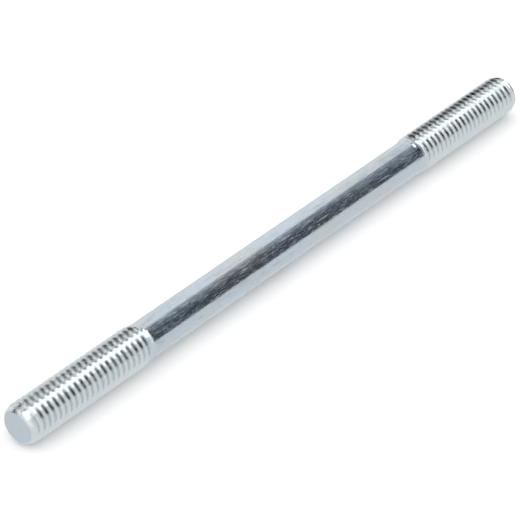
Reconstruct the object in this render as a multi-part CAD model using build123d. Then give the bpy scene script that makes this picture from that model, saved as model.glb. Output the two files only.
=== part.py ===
from build123d import *
from math import sqrt
import os

# Cylinder stud: a drawn steel bar with an M6 x 1 thread rolled on each end, all one piece.
# It lies along X with its middle at the origin. Each thread is left plain, at the diameter of its crests.

# Driving sizes, in millimetres
stud_length = 105.0             # from end flat to end flat
nominal_diameter = 6.0          # the thread's size
thread_pitch = 1.0
crest_allowance = 0.1           # how far the rolled crests fall short of the nominal diameter
left_thread_length = 23.5       # at the -X end, from the end flat to the foot of the run-out
right_thread_length = 23.5      # at the +X end, measured the same way
run_out_turns = 2.0             # turns in which the crests come down to the bar
lead_in_length = 1.35           # from the end flat to the first full crest
end_bevel = 0.45                # on the bar's own end, at 45 degrees
flat_edge_round = 0.2           # radius where the bevel meets the end flat
bar_edge_round = 0.25           # radius where the bevel meets the thread's start
first_crest_round = 2.0         # radius where the start reaches the full crests

# A rolled thread pushes up as much metal as it presses in, so the bar is as thick as the pitch diameter
crest_radius = (nominal_diameter - crest_allowance) / 2
bar_radius = nominal_diameter / 2 - thread_pitch * sqrt(3) * 3 / 16


def end_outline(thread_length):
    """One threaded end's outline over the X axis, with its end flat at x = 0 and the bar towards +X."""
    run_out_length = run_out_turns * thread_pitch
    last_full_crest = (thread_length - run_out_length, crest_radius)
    start = [(0, 0), (0, bar_radius - end_bevel), (end_bevel, bar_radius), (lead_in_length, crest_radius)]
    with BuildLine() as outline:
        FilletPolyline(*start, last_full_crest, radius=[flat_edge_round, bar_edge_round, first_crest_round])
        TangentArc(last_full_crest, (thread_length, bar_radius), tangent=(1, 0))
    return outline.line


def half_section():
    """The area between the X axis and the whole stud's outline."""
    half_length = stud_length / 2
    with BuildSketch() as section:
        with BuildLine():
            add(end_outline(left_thread_length).moved(Location((-half_length, 0))))
            add(end_outline(right_thread_length).mirror(Plane.YZ).moved(Location((half_length, 0))))
            Line((left_thread_length - half_length, bar_radius), (half_length - right_thread_length, bar_radius))
            Line((-half_length, 0), (half_length, 0))
        make_face()
    return section.sketch


def stud():
    """The half section spun once round the X axis."""
    with BuildPart() as part:
        add(half_section())
        revolve(axis=Axis.X)
    return part.part


os.makedirs("parts", exist_ok=True)
export_step(stud(), "parts/cylinder_stud.step")
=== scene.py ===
import bpy, bmesh, math
from mathutils import Vector, Matrix


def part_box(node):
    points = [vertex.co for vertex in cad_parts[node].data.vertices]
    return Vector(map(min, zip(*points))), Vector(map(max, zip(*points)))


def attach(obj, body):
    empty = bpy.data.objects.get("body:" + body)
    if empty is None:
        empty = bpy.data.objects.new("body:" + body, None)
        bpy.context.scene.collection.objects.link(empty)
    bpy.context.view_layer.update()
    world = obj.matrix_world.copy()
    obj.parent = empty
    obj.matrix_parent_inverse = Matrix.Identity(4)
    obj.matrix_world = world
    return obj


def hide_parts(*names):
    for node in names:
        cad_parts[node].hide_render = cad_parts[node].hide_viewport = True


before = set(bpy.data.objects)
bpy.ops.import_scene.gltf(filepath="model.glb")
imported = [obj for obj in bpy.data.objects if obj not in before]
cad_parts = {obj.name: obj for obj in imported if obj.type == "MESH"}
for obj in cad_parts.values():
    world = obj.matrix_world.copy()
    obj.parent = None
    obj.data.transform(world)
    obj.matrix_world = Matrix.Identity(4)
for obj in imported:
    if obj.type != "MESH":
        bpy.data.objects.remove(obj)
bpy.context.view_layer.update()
mm = 0.001
low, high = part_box("cylinder_stud")
axis = (1, 0, 0)        # the stud lies along X, and everything is spun round it


def linear(hexColour):
    # sRGB hex to the linear values that Blender's sockets want
    parts = [int(hexColour[i:i + 2], 16) / 255 for i in (1, 3, 5)]
    return [c / 12.92 if c <= 0.04045 else ((c + 0.055) / 1.055) ** 2.4 for c in parts] + [1.0]


def addNode(tree, kind, settings=None, inputs=None, links=None):
    # one node with its settings, its socket values and the outputs that feed its sockets
    node = tree.nodes.new(kind)
    for name, value in (settings or {}).items():
        setattr(node, name, value)
    for name, value in (inputs or {}).items():
        node.inputs[name].default_value = value
    for name, source in (links or {}).items():
        tree.links.new(source, node.inputs[name])
    return node


def emptyMaterial(name):
    material = bpy.data.materials.new(name)
    material.use_nodes = True
    material.node_tree.nodes.clear()
    return material


# the stud, in millimetres, with places measured inwards from the end flats
stud = {
    "length": (high.x - low.x) / mm,
    "crestRadius": high.y / mm,
    "barRadius": 2.675,
    "pitch": 1.0,
    "threadLength": 23.5,
    "runOut": 2.0,
    "bevel": 0.45,          # on the bar's own end
    "bevelAngle": 45,
    "flatRound": 0.2,
    "leadIn": 1.35,         # to the first full crest
    "fadeIn": (0.35, 1.25),     # where the grooves begin to show and where they are full
    "fadeOut": {"left": (-0.1, 0.6), "right": (0.5, 1.5)},  # the same, back from the run-out's foot
    "firstGroove": {"left": 1.2, "right": 0.8},   # groove centre on the line below
    "grooveLine": 48.0,     # degrees above the horizon, on the -Y side
    "shankStart": 0.35,     # from the run-out's foot to the smooth shank's first ring
    "stepsPerTurn": 64,
    "shankRings": 8,
    "roundSteps": 4,
    "flatRings": (0, 0.6, 1.2, 1.8),    # radii of the end flat's rings
    "ringBeforeRound": 0.05,    # one more, this far short of the rounded edge, keeps the flat's shading flat
    "bevelRings": (0.3, 0.38),  # along the bevel
    "sameRim": 0.02,        # edges this near along the stud belong to one rim
    "mergeGap": 1e-4,
}

# half a thread form from the middle of the crest to the middle of the groove, in pitches:
# (along the axis, below the crest). A rolled crest closes with a fine seam along its middle.
halfForm = [
    (0.0, 0.045), (0.03, 0.035), (0.055, 0.01), (0.08, 0.0), (0.105, 0.004), (0.128, 0.02),
    (0.145, 0.045), (0.152, 0.057), (0.405, 0.495), (0.413, 0.508), (0.44, 0.53), (0.47, 0.54), (0.5, 0.543),
]


def smoothStep(edge0, edge1, x):
    t = min(max((x - edge0) / (edge1 - edge0), 0), 1)
    return t * t * (3 - 2 * t)


def crestEnvelope(x):
    # radius of the crests at x: a cone on the lead-in, then level, then an arc down to the bar
    crest, bar = stud["crestRadius"], stud["barRadius"]
    start = stud["threadLength"] - stud["runOut"]
    if x < stud["leadIn"]:
        return bar + (crest - bar) * (x - stud["bevel"]) / (stud["leadIn"] - stud["bevel"])
    if x < start:
        return crest
    drop = crest - bar
    arcRadius = (stud["runOut"] ** 2 + drop ** 2) / (2 * drop)
    along = min(x - start, stud["runOut"])
    return crest - arcRadius + math.sqrt(arcRadius ** 2 - along ** 2)


def grooveShare(x, side):
    # share of the full groove depth at x
    foot = stud["threadLength"]
    start, end = stud["fadeIn"], stud["fadeOut"][side]
    return smoothStep(start[0], start[1], x) * smoothStep(end[0], end[1], foot - x)


def around(angle, radius, x):
    # a point at an angle that starts on the -Y horizon and goes up and over
    return Vector((x, -radius * math.cos(angle), radius * math.sin(angle)))


def screwSheet(firstGroove, startAngle):
    # one pitch of thread form, screwed one turn round the X axis, then copied turn by turn (right-hand)
    pitch, crest, steps = stud["pitch"], stud["crestRadius"], stud["stepsPerTurn"]
    turnsBefore = 3         # spare turns at both ends, cut off by cutEnds
    turnsAfter = 2
    turns = math.ceil(stud["threadLength"] / pitch) + turnsBefore + turnsAfter
    middle = firstGroove - turnsBefore * pitch
    form = [(-0.5 + a, d) for a, d in halfForm] + [(0.5 - a, d) for a, d in halfForm[-2::-1]]
    bm = bmesh.new()
    line = [bm.verts.new(around(startAngle, crest - d * pitch, middle + a * pitch)) for a, d in form]
    edges = [bm.edges.new(pair) for pair in zip(line, line[1:])]
    bmesh.ops.spin(bm, geom=line + edges, cent=(0, 0, 0), axis=axis, dvec=(pitch / steps, 0, 0),
                   angle=2 * math.pi, steps=steps, use_merge=False, use_duplicate=False)
    turn = bm.verts[:] + bm.edges[:] + bm.faces[:]
    for n in range(1, turns):
        copied = bmesh.ops.duplicate(bm, geom=turn)["geom"]
        moved = [g for g in copied if isinstance(g, bmesh.types.BMVert)]
        bmesh.ops.translate(bm, vec=(n * pitch, 0, 0), verts=moved)
    bmesh.ops.remove_doubles(bm, verts=bm.verts, dist=stud["mergeGap"])
    return bm


def cutEnds(bm, near, far):
    for x, side in ((near, -1), (far, 1)):
        everything = bm.verts[:] + bm.edges[:] + bm.faces[:]
        bmesh.ops.bisect_plane(bm, geom=everything, plane_co=(x, 0, 0), plane_no=(side, 0, 0),
                               clear_outer=True)


def fitToBlank(bm, side):
    # the crests follow the lead-in and the run-out, and the grooves grow and fade with them
    for v in bm.verts:
        x, radius = v.co.x, math.hypot(v.co.y, v.co.z)
        depth = stud["crestRadius"] - radius
        wanted = crestEnvelope(x) - depth * grooveShare(x, side)
        v.co.y *= wanted / radius
        v.co.z *= wanted / radius


def spunShell(bm, outline):
    # an outline of (x, radius) points spun once round the X axis
    line = [bm.verts.new(Vector((x, 0, radius))) for x, radius in outline]
    edges = [bm.edges.new(pair) for pair in zip(line, line[1:])]
    bmesh.ops.spin(bm, geom=line + edges, cent=(0, 0, 0), axis=axis, dvec=(0, 0, 0),
                   angle=2 * math.pi, steps=stud["stepsPerTurn"], use_merge=True, use_duplicate=False)


def capOutline():
    # the end flat, its rounded edge and the bevel, short of the bevel's end
    edge = stud["barRadius"] - stud["bevel"]
    r, whole, steps = stud["flatRound"], stud["bevelAngle"], stud["roundSteps"]
    reach = r * math.tan(math.radians(whole / 2))
    centre = (r, edge - reach)
    angles = [math.radians(whole * i / steps) for i in range(steps + 1)]
    arc = [(centre[0] - r * math.cos(a), centre[1] + r * math.sin(a)) for a in angles]
    flat = [(0, radius) for radius in stud["flatRings"]] + [(0, centre[1] - stud["ringBeforeRound"])]
    return flat + arc + [(x, edge + x) for x in stud["bevelRings"]]


def addTo(target, source, turn, shift):
    # copies one bmesh into another, turned about Z and moved along X
    place = Matrix.Translation((shift, 0, 0)) @ Matrix.Rotation(turn, 4, "Z")
    bmesh.ops.transform(source, matrix=place, verts=source.verts)
    mesh = bpy.data.meshes.new("part")
    source.to_mesh(mesh)
    source.free()
    target.from_mesh(mesh)
    bpy.data.meshes.remove(mesh)


def openLoops(bm):
    # the open rims in order along the stud, each as (middle x, edges)
    rims = [e for e in bm.edges if e.is_boundary]
    rims.sort(key=lambda e: (e.verts[0].co.x + e.verts[1].co.x) / 2)
    groups = []
    for e in rims:
        x = (e.verts[0].co.x + e.verts[1].co.x) / 2
        if groups and abs(groups[-1][0] - x) < stud["sameRim"]:
            groups[-1][1].append(e)
        else:
            groups.append((x, [e]))
    return groups


def makeStud(material):
    half = stud["length"] / 2
    bm = bmesh.new()
    line = math.radians(stud["grooveLine"])
    for side, turn, shift, angle in (("left", 0, -half, line), ("right", math.pi, half, math.pi - line)):
        sheet = screwSheet(stud["firstGroove"][side], angle)
        cutEnds(sheet, stud["bevel"], stud["threadLength"])
        fitToBlank(sheet, side)
        addTo(bm, sheet, turn, shift)
        cap = bmesh.new()
        spunShell(cap, capOutline())
        addTo(bm, cap, turn, shift)
    shank = bmesh.new()
    shankLength = stud["length"] - 2 * (stud["threadLength"] + stud["shankStart"])
    rings = stud["shankRings"]
    spunShell(shank, [(-shankLength / 2 + shankLength * i / rings, stud["barRadius"])
                      for i in range(rings + 1)])
    addTo(bm, shank, 0, 0)
    bmesh.ops.remove_doubles(bm, verts=bm.verts, dist=stud["mergeGap"])
    # the rims come in pairs that face each other: point and thread, thread and shank, and the same back
    loops = openLoops(bm)
    print("open rims at", [(round(x, 2), len(e)) for x, e in loops])
    for first, second in zip(loops[0::2], loops[1::2]):
        bmesh.ops.bridge_loops(bm, edges=first[1] + second[1])
    bmesh.ops.recalc_face_normals(bm, faces=bm.faces)
    bmesh.ops.triangulate(bm, faces=[f for f in bm.faces if len(f.verts) > 4])
    for f in bm.faces:
        f.smooth = True
    bmesh.ops.scale(bm, vec=(mm, mm, mm), verts=bm.verts)
    mesh = bpy.data.meshes.new("cylinderStud")
    bm.to_mesh(mesh)
    openEdges = sum(e.is_boundary for e in bm.edges)
    triangles = sum(len(f.verts) - 2 for f in bm.faces)
    print("stud: open edges", openEdges, "triangles", triangles)
    bm.free()
    piece = bpy.data.objects.new("zinc_plated_stud", mesh)
    bpy.context.scene.collection.objects.link(piece)
    mesh.materials.append(material)
    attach(piece, "root")
    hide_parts("cylinder_stud")
    return piece


zinc = {
    "colour": "#c9d5e0",        # cold blue-white of the passivated plate
    "warmer": "#cdd3d5",        # the faint drift of the passivation film
    "thread": "#dde4e7",        # the film is thinner and greyer on the rolled threads
    "roughness": 0.12,
    "scratched": 0.62,          # roughness inside a scratch
    "mottle": 0.15,             # how much duller the dull patches are
    "speckStrength": 0.9,       # of a speck's roughness, next to a scratch's
    "marksOnThreads": 0.3,      # of the marks on the shank
    "bumpDepth": 0.006,         # millimetres
    "threadsBegin": (24.0, 21.5),   # the greyer colour fades in between these, millimetres from the end flat
    "threadsEnd": (0.25, 0.1),      # and out between these
    "grainRoughness": 0.6,
    # grain: millimetres along x, y and z. turn: degrees about the vertical. shows: the part of the noise used
    "longScratches": {"grain": (3.4, 0.08, 0.08), "turn": 3, "detail": 1, "seed": 3.1, "shows": (0.61, 0.72)},
    "slantedScratches": {"grain": (1.6, 0.07, 0.6), "turn": 32, "detail": 1, "seed": 7.7,
                         "shows": (0.62, 0.74)},
    "specks": {"grain": (0.16, 0.16, 0.16), "turn": 0, "detail": 2, "seed": 1.3, "shows": (0.62, 0.74)},
    "patches": {"grain": (2.6, 0.8, 0.8), "turn": 0, "detail": 4, "seed": 5.5, "shows": (0.4, 0.7)},
    "film": {"grain": (9.0, 4.0, 4.0), "turn": 0, "detail": 1, "seed": 9.2, "shows": (0.42, 0.66)},
}


def between(tree, source, limits, toLow, toHigh):
    # maps a value between two limits to toLow..toHigh, held at both ends
    return addNode(tree, "ShaderNodeMapRange", {"clamp": True}, {
        "From Min": limits[0], "From Max": limits[1], "To Min": toLow, "To Max": toHigh},
        {"Value": source}).outputs[0]


def noiseOf(tree, coords, kind):
    # the raw noise of one kind of grain
    pattern = zinc[kind]
    grains = addNode(tree, "ShaderNodeMapping", {"vector_type": "POINT"}, {
        "Scale": [1 / (length * mm) for length in pattern["grain"]],
        "Rotation": (0, 0, math.radians(pattern["turn"])),
        "Location": [pattern["seed"]] * 3}, {"Vector": coords})
    return addNode(tree, "ShaderNodeTexNoise", {"noise_dimensions": "3D"}, {
        "Scale": 1.0, "Detail": pattern["detail"], "Roughness": zinc["grainRoughness"]},
        {"Vector": grains.outputs[0]}).outputs[0]


def combine(tree, operation, first, second):
    return addNode(tree, "ShaderNodeMath", {"operation": operation}, links={0: first, 1: second}).outputs[0]


def zincPlate():
    # electroplated and passivated: a bright mirror with handling scratches, dull patches and
    # a faint colour film
    material = emptyMaterial("bright zinc plate, blue-white passivated")
    tree = material.node_tree
    coords = addNode(tree, "ShaderNodeTexCoord").outputs["Object"]
    noise = {kind: noiseOf(tree, coords, kind)
             for kind in ("longScratches", "slantedScratches", "specks", "patches", "film")}

    # 0 on the shank and the end flats, 1 on the threads
    half = stud["length"] / 2
    place = addNode(tree, "ShaderNodeSeparateXYZ", links={"Vector": coords}).outputs["X"]
    fromMiddle = addNode(tree, "ShaderNodeMath", {"operation": "ABSOLUTE"}, links={0: place}).outputs[0]
    begin = [(half - inwards) * mm for inwards in zinc["threadsBegin"]]
    end = [(half - inwards) * mm for inwards in zinc["threadsEnd"]]
    threads = combine(tree, "MINIMUM",
                      between(tree, fromMiddle, begin, 0, 1), between(tree, fromMiddle, end, 1, 0))

    scratches = combine(tree, "MAXIMUM",
                        between(tree, noise["longScratches"], zinc["longScratches"]["shows"], 0, 1),
                        between(tree, noise["slantedScratches"], zinc["slantedScratches"]["shows"], 0, 1))
    specks = between(tree, noise["specks"], zinc["specks"]["shows"], 0, zinc["speckStrength"])
    marks = combine(tree, "MULTIPLY", combine(tree, "MAXIMUM", scratches, specks),
                    between(tree, threads, (0, 1), 1, zinc["marksOnThreads"]))
    dull = between(tree, noise["patches"], zinc["patches"]["shows"],
                   zinc["roughness"], zinc["roughness"] + zinc["mottle"])
    rough = addNode(tree, "ShaderNodeMix", {"data_type": "FLOAT"}, {"B": zinc["scratched"]},
                    {"Factor": marks, "A": dull})

    # a colour mix has its factor at socket 0, its two colours at 6 and 7 and its result at output 2
    tint = addNode(tree, "ShaderNodeMix", {"data_type": "RGBA"},
                   {6: linear(zinc["colour"]), 7: linear(zinc["warmer"])},
                   {0: between(tree, noise["film"], zinc["film"]["shows"], 0, 1)})
    plate = addNode(tree, "ShaderNodeMix", {"data_type": "RGBA"}, {7: linear(zinc["thread"])},
                    {0: threads, 6: tint.outputs[2]})
    relief = addNode(tree, "ShaderNodeBump", inputs={"Distance": zinc["bumpDepth"] * mm, "Strength": 1.0},
                     links={"Height": noise["specks"]})
    shader = addNode(tree, "ShaderNodeBsdfPrincipled", inputs={"Metallic": 1.0}, links={
        "Base Color": plate.outputs[2], "Roughness": rough.outputs[0], "Normal": relief.outputs[0]})
    addNode(tree, "ShaderNodeOutputMaterial", links={"Surface": shader.outputs[0]})
    return material


# millimetres and degrees
view = {
    "lens": 193.6,
    "sensor": 36,
    "distance": 386.8,
    "aim": -4.35,           # where the view's middle meets the axis, from the stud's middle
    "turn": 49.85,          # from the view's right to the stud's axis, going away
    "height": 35.6,         # above the horizon
    "clipStart": 10,
}


def addCamera():
    turn, height = math.radians(view["turn"]), math.radians(view["height"])
    back = Vector((-math.sin(turn) * math.cos(height), -math.cos(turn) * math.cos(height), math.sin(height)))
    aim = Vector((view["aim"] * mm, 0, 0))
    data = bpy.data.cameras.new("camera")
    data.lens = view["lens"]
    data.sensor_width = view["sensor"]
    data.clip_start = view["clipStart"] * mm
    camera = bpy.data.objects.new("camera", data)
    camera.location = aim + back * view["distance"] * mm
    camera.rotation_euler = (-back).to_track_quat("-Z", "Y").to_euler()
    bpy.context.scene.collection.objects.link(camera)
    bpy.context.scene.camera = camera


# metres and degrees
studio = {
    "light": 1.35,
    "paper": "#f4f4f4",
    "floorInMetal": "#eceded",
    "floorHalf": 3.0,
    "bendSteps": 24,
    # sheets bent round the stud's axis: name, colour, strength, degrees from the -Y horizon up and over
    # (from and to), distance from the axis, and where the sheet starts and ends along X
    "sheets": [
        ("stripe flag", "#4a4f57", 1.0, 4, 60, 0.4, (0.165, 0.5)),
        ("stripe flag 2", "#5d636b", 1.0, 60, 74, 0.4, (0.165, 0.5)),
        ("stripe flag 3", "#7a8189", 1.0, 74, 88, 0.4, (0.165, 0.5)),
        ("stripe flag 4", "#949ba2", 1.0, 88, 101, 0.4, (0.165, 0.5)),
        ("step flag", "#101214", 1.0, 8, 74, 0.4, (0.09, 0.165)),
        ("gap", "#202428", 1.0, 98, 108, 0.4, (-0.5, 0.165)),
        ("back flag", "#08090a", 1.0, 121, 150, 0.2, (-0.035, 0.095)),
        ("back flag 2", "#08090a", 1.0, 150, 165, 0.2, (0.0, 0.08)),
        ("back step", "#08090a", 1.0, 112, 124, 0.2, (0.04, 0.08)),
        ("far flag", "#202428", 1.0, 108, 168, 0.4, (0.42, 1.0)),
        ("top lamp", "#ffffff", 2.4, 74, 98, 0.42, (-0.5, 0.165)),
        ("left lamp", "#ffffff", 2.4, 50, 74, 0.42, (-0.6, -0.03)),
    ],
    # a flat card behind the stud on the left: colour and corners
    "backCard": ("#050607", [
        (-0.44, 0.245, 0.044), (-0.265, 0.424, 0.044), (-0.265, 0.424, 0.26), (-0.44, 0.245, 0.26)]),
}


def brightEverywhere(tree, plain, bright):
    # mixes two shaders: the bright one for camera, mirror and glass rays, the plain one for the rest
    path = addNode(tree, "ShaderNodeLightPath").outputs
    either = combine(tree, "MAXIMUM", path["Is Camera Ray"], path["Is Glossy Ray"])
    every = combine(tree, "MAXIMUM", either, path["Is Transmission Ray"])
    return addNode(tree, "ShaderNodeMixShader", links={0: every, 1: plain.outputs[0], 2: bright.outputs[0]})


def addWorld():
    world = bpy.data.worlds.new("studio")
    bpy.context.scene.world = world
    world.use_nodes = True
    tree = world.node_tree
    tree.nodes.clear()
    soft = addNode(tree, "ShaderNodeBackground", inputs={"Color": (1, 1, 1, 1), "Strength": studio["light"]})
    white = addNode(tree, "ShaderNodeBackground", inputs={"Color": (1, 1, 1, 1), "Strength": 1.0})
    mixed = brightEverywhere(tree, soft, white)
    addNode(tree, "ShaderNodeOutputWorld", links={"Surface": mixed.outputs[0]})


def addFloor():
    # matt white paper that the metal mirrors as an even light grey
    mesh = bpy.data.meshes.new("floor")
    bm = bmesh.new()
    bmesh.ops.create_grid(bm, x_segments=1, y_segments=1, size=studio["floorHalf"])
    bmesh.ops.translate(bm, vec=(0, 0, low.z), verts=bm.verts)
    bm.to_mesh(mesh)
    bm.free()
    floor = bpy.data.objects.new("floor", mesh)
    bpy.context.scene.collection.objects.link(floor)
    paper = emptyMaterial("white paper")
    tree = paper.node_tree
    matt = addNode(tree, "ShaderNodeBsdfDiffuse", inputs={"Color": linear(studio["paper"])}).outputs[0]
    glow = addNode(tree, "ShaderNodeEmission", inputs={"Color": linear(studio["floorInMetal"])}).outputs[0]
    mirrored = addNode(tree, "ShaderNodeLightPath").outputs["Is Glossy Ray"]
    both = addNode(tree, "ShaderNodeMixShader", links={0: mirrored, 1: matt, 2: glow})
    addNode(tree, "ShaderNodeOutputMaterial", links={"Surface": both.outputs[0]})
    mesh.materials.append(paper)


def addCard(name, bm, colour, strength):
    # a plain sheet that only mirror rays see
    mesh = bpy.data.meshes.new(name)
    bm.to_mesh(mesh)
    bm.free()
    card = bpy.data.objects.new(name.replace(" ", "_"), mesh)
    bpy.context.scene.collection.objects.link(card)
    sheet = emptyMaterial(name)
    tree = sheet.node_tree
    glow = addNode(tree, "ShaderNodeEmission", inputs={"Color": linear(colour), "Strength": strength})
    addNode(tree, "ShaderNodeOutputMaterial", links={"Surface": glow.outputs[0]})
    mesh.materials.append(sheet)
    card.visible_camera = False
    card.visible_diffuse = False
    card.visible_shadow = False
    card.visible_transmission = False


def addCards():
    for name, colour, strength, fromAngle, toAngle, radius, reach in studio["sheets"]:
        bm = bmesh.new()
        ends = [bm.verts.new(around(math.radians(fromAngle), radius, x)) for x in reach]
        edge = bm.edges.new(ends)
        # a spin about +X lowers the angle, so the sweep is negative
        bmesh.ops.spin(bm, geom=ends + [edge], cent=(0, 0, 0), axis=axis, dvec=(0, 0, 0),
                       angle=math.radians(fromAngle - toAngle), steps=studio["bendSteps"],
                       use_merge=False, use_duplicate=False)
        addCard(name, bm, colour, strength)
    colour, corners = studio["backCard"]
    bm = bmesh.new()
    bm.faces.new([bm.verts.new(c) for c in corners])
    addCard("back card", bm, colour, 1.0)


print("making the stud")
makeStud(zincPlate())
print("camera and studio")
addCamera()
addWorld()
addFloor()
addCards()
bpy.context.scene.view_settings.view_transform = "Standard"
